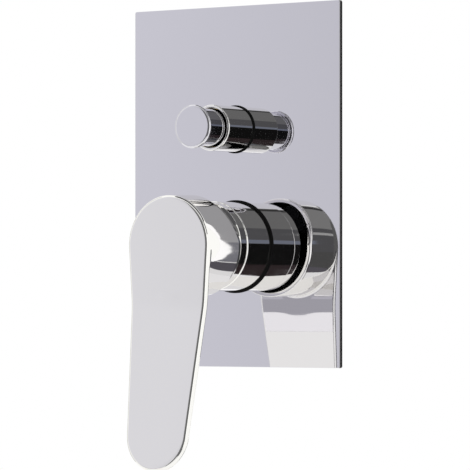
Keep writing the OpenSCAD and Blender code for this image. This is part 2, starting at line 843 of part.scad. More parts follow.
module knob_ring() {
    color("#101012") out_of_wall(knob_z) foot_ring(knob_ring_d / 2, collar_r + fit, knob_ring_t);
}

module knob_sleeve() {
    color("#C9CBD0") out_of_wall(knob_z) difference() {
        rotate_extrude() rounded_wall(knob_sleeve_r, collar_r + fit, knob_ring_t, knob_sleeve_out,
                                      knob_edge_r);
        rod(knob_bore_r, collar_top, knob_sleeve_out + eps);
    }
}

module diverter_knob() {
    disc_foot = knob_out - knob_t;
    color("#CFCDD4") out_of_wall(knob_z) difference() {
        union() {
            rotate_extrude() rounded_wall(knob_r, 0, disc_foot, knob_out, knob_edge);
            tube(knob_neck_r, knob_neck_r - neck_wall, neck_foot, disc_foot + eps);
            rod(knob_boss_r, knob_boss_foot, disc_foot + eps);
        }
        rod(spindle_r, knob_boss_foot - eps, spindle_tip);
        rod_up(knob_grub_r, -knob_r, 0, knob_grub_out);
    }
}

module knob_grub_screw() {
    color("#6E7276") out_of_wall(knob_z)
        translate([0, -spindle_r, knob_grub_out]) grub_screw(knob_grub_r - run, knob_boss_r - spindle_r);
}

valve_body();
fixing_flange();
hot_union();
cold_union();
bath_union();
shower_union();
hot_check_valve();
cold_check_valve();
hot_strainer();
cold_strainer();
port_seals();
cartridge_base();
cartridge_housing();
fixed_disc();
moving_disc();
disc_carrier();
cartridge_rotor();
pivot_pin();
cartridge_stem();
cartridge_nut();
neck_oring();
plate_gasket();
cover_plate();
sleeve_ring();
main_sleeve();
dome_cap();
lever_handle();
lever_grub_screw();
diverter_cage();
cage_orings();
diverter_spindle();
valve_discs();
spindle_clips();
diverter_spring();
diverter_bonnet();
bonnet_oring();
spindle_oring();
knob_ring();
knob_sleeve();
diverter_knob();
knob_grub_screw();
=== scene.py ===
import bmesh
import bpy
import numpy as np
from mathutils import Matrix, Vector


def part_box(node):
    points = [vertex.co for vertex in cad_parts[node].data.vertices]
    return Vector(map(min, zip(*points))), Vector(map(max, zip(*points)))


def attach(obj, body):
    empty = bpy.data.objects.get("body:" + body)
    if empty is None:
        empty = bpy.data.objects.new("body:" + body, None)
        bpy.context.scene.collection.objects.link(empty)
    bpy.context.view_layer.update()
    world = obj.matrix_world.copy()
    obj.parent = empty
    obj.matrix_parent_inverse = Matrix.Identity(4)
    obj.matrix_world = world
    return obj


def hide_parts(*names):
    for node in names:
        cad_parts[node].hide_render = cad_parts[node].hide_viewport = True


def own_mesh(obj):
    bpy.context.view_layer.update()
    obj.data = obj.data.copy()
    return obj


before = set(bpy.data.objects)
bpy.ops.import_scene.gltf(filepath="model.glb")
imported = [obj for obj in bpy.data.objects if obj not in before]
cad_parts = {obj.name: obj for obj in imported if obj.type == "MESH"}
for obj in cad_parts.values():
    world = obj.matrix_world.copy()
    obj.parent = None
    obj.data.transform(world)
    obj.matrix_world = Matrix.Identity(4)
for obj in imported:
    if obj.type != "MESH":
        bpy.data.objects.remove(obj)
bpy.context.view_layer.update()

# Camera
# The photograph was taken from the user's right, 1.8 m away, level with the lever's blade,
# with a long lens whose frame was shifted up to take in the whole plate.
MM = 0.001
FRAME_PIXELS, RAISED_PIXELS = 470, 71
plate_low, plate_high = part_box("cover_plate")
front = plate_low[1]
camera_place = Vector((1.05852, -1.5042, -0.0596))
# The view is level and turned by 36 degrees from straight ahead.
view = Vector((-0.58779, 0.80902, 0.0))
camera_data = bpy.data.cameras.new("photo_camera")
camera_data.lens = 276.6
camera_data.sensor_width = 36.0
camera_data.shift_y = RAISED_PIXELS / FRAME_PIXELS
camera_data.clip_end = 50.0
camera = bpy.data.objects.new("photo_camera", camera_data)
turned_view = view.to_track_quat("-Z", "Y").to_matrix().to_4x4()
camera.matrix_world = Matrix.Translation(camera_place) @ turned_view
bpy.context.scene.collection.objects.link(camera)
bpy.context.scene.camera = camera
bpy.context.scene.view_settings.view_transform = "Standard"


# Studio
# A white room. Polished metal shows nothing but what stands round it, so plain cards stand in the
# room, most of them 12 m in front of the plate: light ones far to the left and right, dark ones between.
def linear(hex_colour):
    """sRGB hex to linear light: each channel is c/12.92 below 0.04045, else ((c+0.055)/1.055)^2.4."""
    c = np.array([int(hex_colour[i:i + 2], 16) / 255 for i in (1, 3, 5)])
    c = np.where(c <= 0.04045, c / 12.92, ((c + 0.055) / 1.055) ** 2.4)
    return (*c, 1.0)


def add_node(tree, kind, inputs=None, **settings):
    """Adds a node, sets its options, and sets or links each named input."""
    node = tree.nodes.new(kind)
    for key, value in settings.items():
        setattr(node, key, value)
    for key, value in (inputs or {}).items():
        if isinstance(value, bpy.types.NodeSocket):
            tree.links.new(value, node.inputs[key])
        else:
            node.inputs[key].default_value = value
    return node


def new_material(name):
    """An empty node material: returns it, its tree and its output node."""
    material = bpy.data.materials.new(name)
    material.use_nodes = True
    tree = material.node_tree
    tree.nodes.clear()
    return material, tree, add_node(tree, "ShaderNodeOutputMaterial")


def seen_rays(tree):
    """1 for rays that show the room itself, which is the largest of three flags: that of the camera's
    rays, of gloss and of glass."""
    rays = add_node(tree, "ShaderNodeLightPath")
    pair = add_node(tree, "ShaderNodeMath", {0: rays.outputs["Is Camera Ray"],
                                             1: rays.outputs["Is Glossy Ray"]}, operation="MAXIMUM")
    both = add_node(tree, "ShaderNodeMath", {0: pair.outputs[0],
                                             1: rays.outputs["Is Transmission Ray"]}, operation="MAXIMUM")
    return both.outputs[0]


world = bpy.data.worlds.new("white_room")
bpy.context.scene.world = world
world.use_nodes = True
world.node_tree.nodes.clear()
room = seen_rays(world.node_tree)
# The room looks white, at a strength of 1, and lights paint at little more than half of that.
PAINT_LIGHT = 0.55
room_light = add_node(world.node_tree, "ShaderNodeMath", {0: room, 1: 1.0 - PAINT_LIGHT, 2: PAINT_LIGHT},
                      operation="MULTIPLY_ADD")
room_shader = add_node(world.node_tree, "ShaderNodeBackground",
                       {"Color": (1.0, 1.0, 1.0, 1.0), "Strength": room_light.outputs[0]})
add_node(world.node_tree, "ShaderNodeOutputWorld", {"Surface": room_shader.outputs[0]})

CARD_DISTANCE = 12.0
# Cards are placed as a point of the plate sees them, half way from its middle to the lever's axis.
SIGHT_Z = -0.015


def grey(level):
    """The same linear light in red, green and blue."""
    return (level, level, level)


def flat_card(name, points, colour):
    """A flat card through points in metres, of a colour in linear light. The camera doesn't see it, and
    it neither lights paint nor casts a shadow: gloss alone shows it."""
    mesh = bpy.data.meshes.new(name)
    mesh.from_pydata(points, [], [tuple(range(len(points)))])
    material, tree, output = new_material(name + "_paint")
    glow = add_node(tree, "ShaderNodeEmission", {"Color": (*colour, 1.0), "Strength": 1.0})
    tree.links.new(glow.outputs[0], output.inputs["Surface"])
    mesh.materials.append(material)
    piece = bpy.data.objects.new(name, mesh)
    bpy.context.scene.collection.objects.link(piece)
    piece.visible_camera = False
    piece.visible_diffuse = False
    piece.visible_shadow = False
    return piece


def card(name, corners, colour, nearer=0.0):
    """A card parallel to the wall. Each corner is (across, up), its slopes as seen from the plate: it
    stands across and up by these times the card's distance."""
    distance = CARD_DISTANCE - nearer
    points = [(a * distance, front - distance, SIGHT_Z + b * distance) for a, b in corners]
    return flat_card(name, points, colour)


def upright(left, right, low, high):
    """Corners of an upright rectangle, as slopes."""
    return [(left, low), (right, low), (right, high), (left, high)]


def arc(reach, start, end, steps=9):
    """Corners on a circle round the wall's normal: slope reach, turned from start to end in degrees."""
    turns = np.radians(np.linspace(start, end, steps))
    return list(zip(reach * np.cos(turns), reach * np.sin(turns)))


# Edges that several cards share, as slopes across and up.
far_left, wall_end, far_right = -1.15, -0.45, 1.45
strip_left, strip_right, middle_half = -0.90, -0.60, 0.17
flag_foot, foot_line, wall_line, ceiling_line = -0.42, -0.285, -0.04, 0.10
wall_top, middle_line, flag_top = 1.30, 0.14, 0.55

pale_wall = card("pale_wall_left", [(far_left, wall_line), (wall_end, wall_line), (-0.36, 0.63),
                                    (-0.60, wall_top), (far_left, wall_top)],
                 (0.669, 0.666, 0.718), nearer=0.05)
card("wall_foot", upright(far_left, wall_end, foot_line, wall_line), (0.53, 0.53, 0.57), nearer=0.05)
# The pale wall is lit from its far end, so the plate fades a little from its left side to its right.
FADE_FROM_X, FADE_TO_X = -9.3, -8.0
tree = pale_wall.material_slots[0].material.node_tree
place = add_node(tree, "ShaderNodeTexCoord").outputs["Object"]
across = add_node(tree, "ShaderNodeSeparateXYZ", {"Vector": place}).outputs["X"]
fade = add_node(tree, "ShaderNodeMapRange", {"Value": across, "From Min": FADE_FROM_X,
                                             "From Max": FADE_TO_X, "To Min": 1.06, "To Max": 0.95})
tree.links.new(fade.outputs[0], tree.nodes["Emission"].inputs["Strength"])
card("lit_floor_strip", upright(strip_left, strip_right, flag_foot, foot_line), grey(1.26), nearer=0.1)
card("paper_floor", [(-2.2, -1.5), (far_right, -1.5), (far_right, -0.50), (-middle_half, flag_foot),
                     (strip_right, -0.26), (strip_left, -0.26), (strip_left, -0.20), (-2.2, -0.20)],
     grey(0.88))
card("grey_ceiling", [(-0.20, ceiling_line), (far_right, ceiling_line), (far_right, 1.00),
                      (0.45, wall_top), (-0.75, wall_top), (-0.36, 0.63)], (0.38, 0.38, 0.39))
# The sleeves stand square to the plate. By way of it they show a circle of the room, at the camera's
# own slope of 0.73, so the cards for them are arcs that end just outside or just inside that circle.
outer_slope, rim_slope, core_slope, inner_slope = 0.756, 0.752, 0.70, 0.69
card("grey_reflector", arc(outer_slope, 18, 118) + [(-0.15, 0.20)], grey(0.15), nearer=0.1)
card("grey_reflector_core", arc(core_slope, 30, 112) + [(-0.10, 0.20)], grey(0.21), nearer=0.2)
card("light_stand", arc(0.92, 107, 116, 2) + arc(0.60, 116, 107, 2), grey(0.04), nearer=0.4)
card("dim_doorway", arc(outer_slope, -10, 48) + arc(0.30, 48, -10, 2), (0.085, 0.085, 0.09), nearer=0.3)
card("tube_lamp", arc(core_slope, 31, 37, 2) + arc(0.56, 37, 31, 2), grey(0.36), nearer=0.4)
card("dark_flag_right", arc(0.57, -42, 73) + [(middle_half, flag_foot)], grey(0.11), nearer=0.5)
card("dark_flag_left", [(-0.43, flag_foot), (-middle_half, flag_foot), (-middle_half, flag_top),
                        (-0.40, 0.50)], grey(0.07), nearer=0.5)
card("pale_middle", upright(-middle_half, middle_half, flag_foot, middle_line), (0.20, 0.20, 0.21),
     nearer=0.5)
card("dark_flag_middle", upright(-middle_half, middle_half, middle_line, flag_top), grey(0.17),
     nearer=0.5)
card("camera_side_flat", upright(0.30, far_right, -0.50, ceiling_line), (0.21, 0.21, 0.235))
card("camera_side_core", arc(inner_slope, -45, 8) + [(0.20, ceiling_line), (0.20, -0.48)], grey(0.075),
     nearer=0.1)
card("camera", arc(rim_slope, -48, 7) + arc(inner_slope, 7, -48), grey(0.006), nearer=0.4)
card("blue_window", arc(rim_slope, 8, 17, 3) + arc(0.66, 17, 8, 3), (0.16, 0.175, 0.22), nearer=0.4)
card("table_edge", arc(rim_slope, -83, -42) + arc(core_slope, -42, -83), (0.028, 0.02, 0.021), nearer=0.2)
card("table_top", [(0.31, -0.57), (0.37, -0.66), (far_right, -0.66), (far_right, -0.48), (0.31, -0.48)],
     (0.10, 0.095, 0.11), nearer=0.1)
card("softbox_right", [(0.698, -0.507), (0.684, -0.41), (0.73, -0.28), (0.767, -0.107), (0.78, 0.05),
                       (0.79, 0.20), (0.72, 0.42), (0.62, 0.62), (0.62, 0.80), (1.35, 0.80),
                       (1.35, -0.507)], (1.28, 1.28, 1.27), nearer=0.6)
# Four cards stand 3 m from the fitting, at its sides, above it and behind it.
SIDE = 3.0
flat_card("grey_flat_right", [(SIDE, -2.2, 1.1), (SIDE, -0.3, 1.1), (SIDE, -0.3, 4.0), (SIDE, -2.2, 4.0)],
          grey(0.14))
flat_card("grey_flat_above", [(-1.5, -1.4, SIDE), (3.0, -1.4, SIDE), (3.0, 1.2, SIDE), (-1.5, 1.2, SIDE)],
          (0.08, 0.08, 0.085))
flat_card("grey_flat_behind", [(-1.0, SIDE, -3.0), (1.0, SIDE, -3.0), (1.0, SIDE, -0.6), (-1.0, SIDE, -0.6)],
          grey(0.395))
flat_card("grey_flat_left", [(-SIDE, -0.9, -1.2), (-SIDE, -0.2, -1.2), (-SIDE, -0.2, 3.0),
                             (-SIDE, -0.9, 3.0)], grey(0.16))

# A round floor lies well below the plate. To rays that see it, it is mostly a white glow, so that it
# looks as white as the room, and the rest is matt white paint, which keeps the shadow.
FLOOR_R, FLOOR_Z, FLOOR_GLOW = 1.6, -1.15, 0.8
floor_mesh = bpy.data.meshes.new("floor")
turns = np.linspace(0, 2 * np.pi, 96, endpoint=False)
rim = np.stack([FLOOR_R * np.cos(turns), FLOOR_R * np.sin(turns), np.full(len(turns), FLOOR_Z)], axis=-1)
floor_mesh.from_pydata(rim, [], [tuple(range(len(turns)))])
floor_paint, tree, output = new_material("floor_paint")
matt = add_node(tree, "ShaderNodeBsdfDiffuse", {"Color": linear("#F2F2F2")})
white = add_node(tree, "ShaderNodeEmission", {"Color": (1.0, 1.0, 1.0, 1.0), "Strength": 1.0})
share = add_node(tree, "ShaderNodeMath", {0: seen_rays(tree), 1: FLOOR_GLOW}, operation="MULTIPLY")
mixed = add_node(tree, "ShaderNodeMixShader", {0: share.outputs[0], 1: matt.outputs[0],
                                               2: white.outputs[0]})
tree.links.new(mixed.outputs[0], output.inputs["Surface"])
floor_mesh.materials.append(floor_paint)
floor = bpy.data.objects.new("floor", floor_mesh)
bpy.context.scene.collection.objects.link(floor)


def lamp(name, place, size, power):
    """A soft square lamp at a place, turned towards the plate's middle. It lights paint, and gloss
    doesn't show it."""
    data = bpy.data.lights.new(name, "AREA")
    data.size = size
    data.energy = power
    piece = bpy.data.objects.new(name, data)
    aim = (Vector((0, 0, 0)) - Vector(place)).to_track_quat("-Z", "Y").to_matrix().to_4x4()
    piece.matrix_world = Matrix.Translation(Vector(place)) @ aim
    bpy.context.scene.collection.objects.link(piece)
    piece.visible_glossy = False
    piece.visible_camera = False


lamp("key_lamp", place=(-1.2, -1.6, 1.4), size=1.2, power=26)
lamp("fill_lamp", place=(1.6, -1.0, 0.5), size=1.4, power=12)
lamp("rear_lamp", place=(0.6, 1.6, 1.0), size=1.2, power=16)

# Valve body
# One sand casting of brass, bead blasted, with the cartridge's chamber, the diverter's chamber and
# four short stubs. A pressed brass sheet is brazed round its back and takes the four wall screws.

# A noise texture's values lie mostly between the first pair. The second pair lies closer together,
# so that a good part of each patch shows one colour in full.
NOISE_LOW, NOISE_HIGH = 0.3, 0.7
PATCH_LOW, PATCH_HIGH = 0.35, 0.65
# At a scale of 1, a wave texture repeats every 2 pi / 20 units.
WAVE_LENGTH = 2 * np.pi / 20
# Handling dulls turned metal in patches of this size.
HANDLED_MM = 9


def repaint(material, *names):
    """Gives CAD nodes a better material."""
    for name in names:
        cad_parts[name].material_slots[0].material = material


def mottled(name, colours, patch_mm, roughness, grain_mm, grain_height, metallic=0.0, gloss=0.5):
    """A surface that is never quite even. A slow noise of patch_mm mixes two close colours. A fine one
    of grain_mm moves the roughness between two values and raises grains of grain_height mm."""
    material, tree, output = new_material(name)
    place = add_node(tree, "ShaderNodeTexCoord").outputs["Object"]
    patches = add_node(tree, "ShaderNodeTexNoise", {"Vector": place, "Scale": 1000 / patch_mm,
                                                    "Detail": 4.0})
    share = add_node(tree, "ShaderNodeMapRange", {"Value": patches.outputs["Fac"],
                                                  "From Min": PATCH_LOW, "From Max": PATCH_HIGH})
    colour = add_node(tree, "ShaderNodeMix", {0: share.outputs[0], 6: linear(colours[0]),
                                              7: linear(colours[1])}, data_type="RGBA")
    grain = add_node(tree, "ShaderNodeTexNoise", {"Vector": place, "Scale": 1000 / grain_mm, "Detail": 2.0})
    rough = add_node(tree, "ShaderNodeMapRange", {"Value": grain.outputs["Fac"],
                                                  "From Min": NOISE_LOW, "From Max": NOISE_HIGH,
                                                  "To Min": roughness[0], "To Max": roughness[1]})
    bump = add_node(tree, "ShaderNodeBump", {"Height": grain.outputs["Fac"], "Strength": 0.5,
                                             "Distance": grain_height * MM})
    shader = add_node(tree, "ShaderNodeBsdfPrincipled", {"Base Color": colour.outputs[2],
                                                         "Metallic": metallic,
                                                         "Roughness": rough.outputs[0],
                                                         "Specular IOR Level": gloss,
                                                         "Normal": bump.outputs[0]})
    tree.links.new(shader.outputs[0], output.inputs["Surface"])
    return material


def machined(name, colour, roughness, axis, pitch_mm):
    """Metal turned on a lathe. Bands across the turning axis, pitch_mm apart, are the tool's marks, two
    microns high. A slow noise of 9 mm moves the roughness between 0.8 and 1.3 times its value, as
    handling does."""
    material, tree, output = new_material(name)
    place = add_node(tree, "ShaderNodeTexCoord").outputs["Object"]
    marks = add_node(tree, "ShaderNodeTexWave", {"Vector": place,
                                                 "Scale": WAVE_LENGTH / (pitch_mm * MM),
                                                 "Distortion": 0.4, "Detail": 2.0}, bands_direction=axis)
    handled = add_node(tree, "ShaderNodeTexNoise", {"Vector": place, "Scale": 1000 / HANDLED_MM,
                                                    "Detail": 4.0})
    rough = add_node(tree, "ShaderNodeMapRange", {"Value": handled.outputs["Fac"],
                                                  "From Min": NOISE_LOW, "From Max": NOISE_HIGH,
                                                  "To Min": roughness * 0.8, "To Max": roughness * 1.3})
    bump = add_node(tree, "ShaderNodeBump", {"Height": marks.outputs["Fac"], "Strength": 0.6,
                                             "Distance": 0.002 * MM})
    shader = add_node(tree, "ShaderNodeBsdfPrincipled", {"Base Color": linear(colour), "Metallic": 1.0,
                                                         "Roughness": rough.outputs[0],
                                                         "Normal": bump.outputs[0]})
    tree.links.new(shader.outputs[0], output.inputs["Surface"])
    return material


# Bead-blasted brass: dull yellow with browner patches, and a grain of about a third of a millimetre.
cast_brass = mottled("bead_blasted_cast_brass", ("#C4A566", "#A98C55"), patch_mm=14,
                     roughness=(0.36, 0.52), grain_mm=0.35, grain_height=0.03, metallic=1.0)
repaint(cast_brass, "valve_body")
# Rolled sheet is smoother and paler than the casting.
sheet_brass = mottled("pressed_brass_sheet", ("#CBB073", "#BB9E63"), patch_mm=22,
                      roughness=(0.24, 0.36), grain_mm=0.8, grain_height=0.004, metallic=1.0)
repaint(sheet_brass, "fixing_flange")
# The threaded ends come off the lathe: bright yellow, with fine rings round the pipe's own axis.
repaint(machined("turned_brass_inlet", "#D0B478", roughness=0.2, axis="X", pitch_mm=0.25),
        "hot_union", "cold_union")
repaint(machined("turned_brass_outlet", "#D0B478", roughness=0.2, axis="Z", pitch_mm=0.25),
        "bath_union", "shower_union")

# Inlet strainers and check valves
# A punched disc of stainless sheet keeps grit out of each inlet. Behind it sits a white moulded
# non-return valve, pushed into the stub.
punched_steel, tree, output = new_material("punched_stainless_sheet")
place = add_node(tree, "ShaderNodeTexCoord").outputs["Object"]
# Bright grey sheet with rows of round holes of 0.5 mm, 0.9 mm apart. The holes are not cut: each is a
# near-black disc of painted shade, sunk a little by the bump. A Voronoi texture with no randomness is a
# plain square grid. A hole's soft rim lies between two shares of that distance.
HOLE_PITCH = 0.9
RIM_INSIDE, RIM_OUTSIDE = 0.26, 0.32
holes = add_node(tree, "ShaderNodeTexVoronoi", {"Vector": place, "Scale": 1000 / HOLE_PITCH,
                                                "Randomness": 0.0})
metal = add_node(tree, "ShaderNodeMapRange", {"Value": holes.outputs["Distance"],
                                              "From Min": RIM_INSIDE, "From Max": RIM_OUTSIDE})
# Painted shade: the holes are near-black discs on the grey metal.
colour = add_node(tree, "ShaderNodeMix", {0: metal.outputs[0], 6: linear("#1B1B1C"), 7: linear("#B9BBBE")},
                  data_type="RGBA")
bump = add_node(tree, "ShaderNodeBump", {"Height": metal.outputs[0], "Strength": 0.8, "Distance": 0.1 * MM})
shader = add_node(tree, "ShaderNodeBsdfPrincipled", {"Base Color": colour.outputs[2], "Metallic": 1.0,
                                                     "Roughness": 0.3, "Normal": bump.outputs[0]})
tree.links.new(shader.outputs[0], output.inputs["Surface"])
repaint(punched_steel, "hot_strainer", "cold_strainer")
# Acetal is waxy: nearly white, with a soft gloss and no visible grain.
white_acetal = mottled("moulded_white_acetal", ("#E7E7E1", "#DEDED7"), patch_mm=8,
                       roughness=(0.28, 0.4), grain_mm=0.5, grain_height=0.004)
repaint(white_acetal, "hot_check_valve", "cold_check_valve", "diverter_cage")

# Cartridge
# A shell and foot of glass-filled nylon hold two lapped ceramic discs. A slide of blue acetal moves
# the upper disc, a rotor turns it, and a brass nut with a hexagon clamps it all into the body.

# Glass fibres near the surface leave moulded nylon off-white and dull, with a fine cloudy grain.
filled_nylon = mottled("moulded_glass_filled_nylon", ("#DEDDD3", "#D0CFC3"), patch_mm=5,
                       roughness=(0.42, 0.6), grain_mm=0.3, grain_height=0.012)
repaint(filled_nylon, "cartridge_base", "cartridge_housing", "cartridge_rotor")
# Dyed acetal keeps its waxy gloss under a soft blue.
blue_acetal = mottled("moulded_blue_acetal", ("#5F7EA6", "#58779F"), patch_mm=6,
                      roughness=(0.3, 0.42), grain_mm=0.5, grain_height=0.004)
repaint(blue_acetal, "disc_carrier")
# Lapped alumina shines like a wet stone: warm white, very smooth.
alumina = mottled("lapped_alumina", ("#EFEDE5", "#E8E5DB"), patch_mm=10,
                  roughness=(0.08, 0.14), grain_mm=1.2, grain_height=0.001)
repaint(alumina, "fixed_disc", "moving_disc")
# Turned brass is a clear yellow and turned stainless steel a cool grey, both with fine bright rings.
repaint(machined("turned_brass_nut", "#D0B47A", roughness=0.22, axis="Y", pitch_mm=0.2),
        "cartridge_nut", "diverter_bonnet")
repaint(machined("turned_stainless_pin", "#BFC1C4", roughness=0.18, axis="X", pitch_mm=0.15), "pivot_pin")
repaint(machined("turned_stainless_stem", "#BFC1C4", roughness=0.22, axis="Y", pitch_mm=0.2),
        "cartridge_stem", "spindle_clips")

# Black nitrile: matt with a soft sheen. Its moulded grain is 0.25 mm, coarser than the real one so
# that it shows at all.
black_rubber = mottled("moulded_nitrile_rubber", ("#080808", "#050505"), patch_mm=6,
                       roughness=(0.5, 0.7), grain_mm=0.25, grain_height=0.02, gloss=0.12)
repaint(black_rubber, "port_seals", "neck_oring", "bonnet_oring", "spindle_oring", "cage_orings",
        "valve_discs")

# Diverter spindle and its spring
# A turned brass spindle carries the two rubber valve discs. A coil spring of stainless wire sits
# between the front disc and the bonnet, and pushes the knob back in.
repaint(machined("turned_brass_spindle", "#D0B47A", roughness=0.16, axis="Y", pitch_mm=0.2),
        "diverter_spindle")
# Drawing through a die leaves bright grey wire with faint lines along it. In a coil round the Y axis,
# bands across Y run along the wire.
spring_steel = machined("drawn_stainless_wire", "#C4C6C8", roughness=0.2, axis="Y", pitch_mm=0.12)
knob_low, knob_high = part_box("knob_sleeve")
knob_z = (knob_low[2] + knob_high[2]) / 2
# Points of a grid that are nearer than the first distance are one point, and a sliver narrower than the
# second is dropped, in metres. Faces that meet at more than the angle are shaded with a crease.
SAME_POINT, SLIVER, CREASE = 2e-7, 1e-8, np.radians(35)


def object_from_grid(name, points):
    """Makes an object of a grid of points (rows along u, columns along v) in metres. The last row is
    joined to the first. Equal points are merged, so a row that ends on an axis closes."""
    rows, columns = points.shape[:2]
    index = np.arange(rows * columns).reshape(rows, columns)
    after = np.roll(index, -1, axis=0)
    quads = np.stack([index[:, :-1], index[:, 1:], after[:, 1:], after[:, :-1]], axis=-1).reshape(-1, 4)
    mesh = bpy.data.meshes.new(name)
    mesh.from_pydata(points.reshape(-1, 3), [], quads)
    work = bmesh.new()
    work.from_mesh(mesh)
    bmesh.ops.remove_doubles(work, verts=work.verts, dist=SAME_POINT)
    bmesh.ops.dissolve_degenerate(work, edges=work.edges, dist=SLIVER)
    bmesh.ops.recalc_face_normals(work, faces=work.faces)
    work.to_mesh(mesh)
    work.free()
    mesh.shade_smooth()
    mesh.set_sharp_from_angle(angle=CREASE)
    piece = bpy.data.objects.new(name, mesh)
    bpy.context.scene.collection.objects.link(piece)
    return piece


def dress(piece, material, body, replaced):
    """Gives a new piece its material and its body, and hides the nodes that it stands for."""
    piece.data.materials.append(material)
    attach(piece, body)
    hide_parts(*replaced)


spring_low, spring_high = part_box("diverter_spring")
wire_r = 0.45 * MM
coil_r = (spring_high[0] - spring_low[0]) / 2 - wire_r
coil_turns = 5
# A helix: at turn t the wire's centre is (coil_r cos t, y rising evenly, coil_r sin t). The last half
# turn at each end lies flat, as on a spring with closed ends.
t = np.linspace(0, 2 * np.pi * coil_turns, 64 * coil_turns)
share = np.clip((t - np.pi) / (t[-1] - 2 * np.pi), 0, 1)
centre_y = spring_high[1] - wire_r + (spring_low[1] - spring_high[1] + 2 * wire_r) * share
round_wire = np.linspace(0, 2 * np.pi, 16, endpoint=False)[:, None]
radius = coil_r + wire_r * np.cos(round_wire)
helix = np.stack([radius * np.cos(t), centre_y + wire_r * np.sin(round_wire),
                  knob_z + radius * np.sin(t)], axis=-1)
# Each end of the wire is closed by a row of points that all lie on its centre line.
middle = np.stack([coil_r * np.cos(t), centre_y, knob_z + coil_r * np.sin(t)], axis=-1)
ends = [np.repeat(middle[None, [i]], len(round_wire), axis=0) for i in (0, -1)]
spring = object_from_grid("return_spring", np.concatenate([ends[0], helix, ends[1]], axis=1))
dress(spring, spring_steel, "mixer", ["diverter_spring"])
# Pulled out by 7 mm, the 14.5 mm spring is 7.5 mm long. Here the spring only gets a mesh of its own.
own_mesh(spring)

# Foam seal
# A band cut from a sheet of closed-cell rubber foam is stuck behind the plate, and keeps water out of
# the wall's opening.
cell_foam, tree, output = new_material("closed_cell_foam")
place = add_node(tree, "ShaderNodeTexCoord").outputs["Object"]
# Cut foam is matt and nearly black, pitted by the halves of cells of 0.5 mm.
CELL_MM = 0.5
cells = add_node(tree, "ShaderNodeTexVoronoi", {"Vector": place, "Scale": 1000 / CELL_MM})
bump = add_node(tree, "ShaderNodeBump", {"Height": cells.outputs["Distance"], "Strength": 0.7,
                                         "Distance": 0.15 * MM})
# Painted shade: each cell's pit is darker towards its middle, where the bump lies lowest.
shade = add_node(tree, "ShaderNodeMix", {0: cells.outputs["Distance"], 6: linear("#161616"),
                                         7: linear("#303031")}, data_type="RGBA")
shader = add_node(tree, "ShaderNodeBsdfPrincipled", {"Base Color": shade.outputs[2], "Roughness": 0.9,
                                                     "Normal": bump.outputs[0]})
tree.links.new(shader.outputs[0], output.inputs["Surface"])
repaint(cell_foam, "plate_gasket")

# Cover plate
# Stainless sheet, 2.5 mm thick, punched out and mirror-polished on the front. The sheared edge
# is dull and coloured nearly black, with a fine bright bevel where the polishing wheel ran over it.

# Polishing leaves a haze in patches of this size, and ripples of this height.
HAZE_MM, RIPPLE_HEIGHT = 14, 0.01 * MM


def polished_metal(name, colour, roughness, ripple_mm):
    """Bright metal. A slow noise of 14 mm moves the roughness between 0.6 and 1.4 times its value, as
    polishing does. Another, of ripple_mm, lifts the surface by up to a hundredth of a millimetre."""
    material, tree, output = new_material(name)
    place = add_node(tree, "ShaderNodeTexCoord").outputs["Object"]
    haze = add_node(tree, "ShaderNodeTexNoise", {"Vector": place, "Scale": 1000 / HAZE_MM, "Detail": 4.0})
    rough = add_node(tree, "ShaderNodeMapRange", {"Value": haze.outputs["Fac"],
                                                  "From Min": NOISE_LOW, "From Max": NOISE_HIGH,
                                                  "To Min": roughness * 0.6, "To Max": roughness * 1.4})
    ripple = add_node(tree, "ShaderNodeTexNoise", {"Vector": place, "Scale": 1000 / ripple_mm,
                                                   "Detail": 1.0})
    bump = add_node(tree, "ShaderNodeBump", {"Height": ripple.outputs["Fac"], "Strength": 1.0,
                                             "Distance": RIPPLE_HEIGHT})
    shader = add_node(tree, "ShaderNodeBsdfPrincipled", {"Base Color": linear(colour), "Metallic": 1.0,
                                                         "Roughness": rough.outputs[0],
                                                         "Normal": bump.outputs[0]})
    tree.links.new(shader.outputs[0], output.inputs["Surface"])
    return material


lever_low, lever_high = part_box("main_sleeve")
lever_z = (lever_low[2] + lever_high[2]) / 2
# A clear mirror, a little greyer than chrome, with slow ripples of 60 mm that bend what it shows.
plate_steel = polished_metal("mirror_polished_steel_sheet", "#E7E6EA", roughness=0.02, ripple_mm=60)
# The punch drags fine streaks through the thickness, 1.1 mm apart and 8.3 mm long. The cut face
# is given a nearly black colour beside the mirror.
STREAKS_ACROSS, STREAKS_ALONG = 900.0, 120.0
sheared_edge, tree, output = new_material("sheared_steel_edge")
place = add_node(tree, "ShaderNodeTexCoord").outputs["Object"]
drag = add_node(tree, "ShaderNodeMapping", {"Vector": place,
                                            "Scale": (STREAKS_ACROSS, STREAKS_ALONG, STREAKS_ACROSS)})
streak = add_node(tree, "ShaderNodeTexNoise", {"Vector": drag.outputs[0], "Scale": 1.0, "Detail": 3.0})
rough = add_node(tree, "ShaderNodeMapRange", {"Value": streak.outputs["Fac"], "To Min": 0.25,
                                              "To Max": 0.5})
shader = add_node(tree, "ShaderNodeBsdfPrincipled", {"Base Color": linear("#171516"), "Metallic": 1.0,
                                                     "Roughness": rough.outputs[0]})
tree.links.new(shader.outputs[0], output.inputs["Surface"])


def rectangle_loop(width, height, corner, steps=8):
    """Points round a rectangle with rounded corners, anticlockwise seen from the front, as (x, z): a
    quarter of a circle round each corner's centre, one after another."""
    turns = np.radians(np.linspace(0, 90, steps))
    loops = []
    for i, (sx, sz) in enumerate([(1, 1), (-1, 1), (-1, -1), (1, -1)]):
        t = turns + i * np.pi / 2
        centre = np.array([sx * (width / 2 - corner), sz * (height / 2 - corner)])
        loops.append(centre + corner * np.stack([np.cos(t), np.sin(t)], axis=-1))
    return np.vstack(loops)


MICRON = 1e-6


